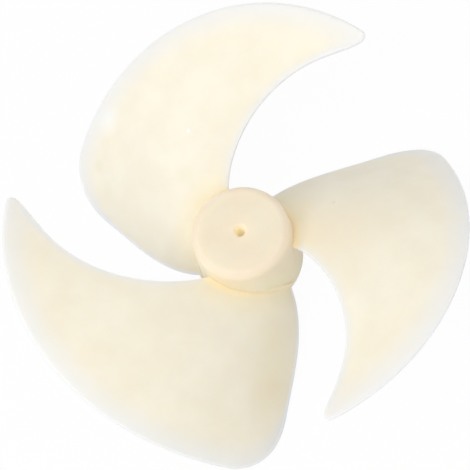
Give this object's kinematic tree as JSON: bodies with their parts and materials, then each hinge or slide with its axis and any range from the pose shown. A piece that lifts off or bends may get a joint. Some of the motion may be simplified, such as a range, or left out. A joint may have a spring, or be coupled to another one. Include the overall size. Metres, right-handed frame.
{
  "type": "fan blade",
  "caption": "One-piece moulded axial fan blade with swept, cambered blades on a cored push-on hub with a shaft bore.",
  "frame": {"origin": "on the shaft's axis, in the plane of the hub's open rear end", "axes": "+Z along the shaft towards the hub's closed front, from which the blades show their convex side"},
  "size_m": [0.1599, 0.1599, 0.059],
  "materials": {
    "natural_plastic": "natural ivory moulding plastic, semi-gloss, slightly translucent at its thin edges"
  },
  "bodies": {
    "root": {"fan_blade": "natural_plastic"}
  },
  "joints": []
}
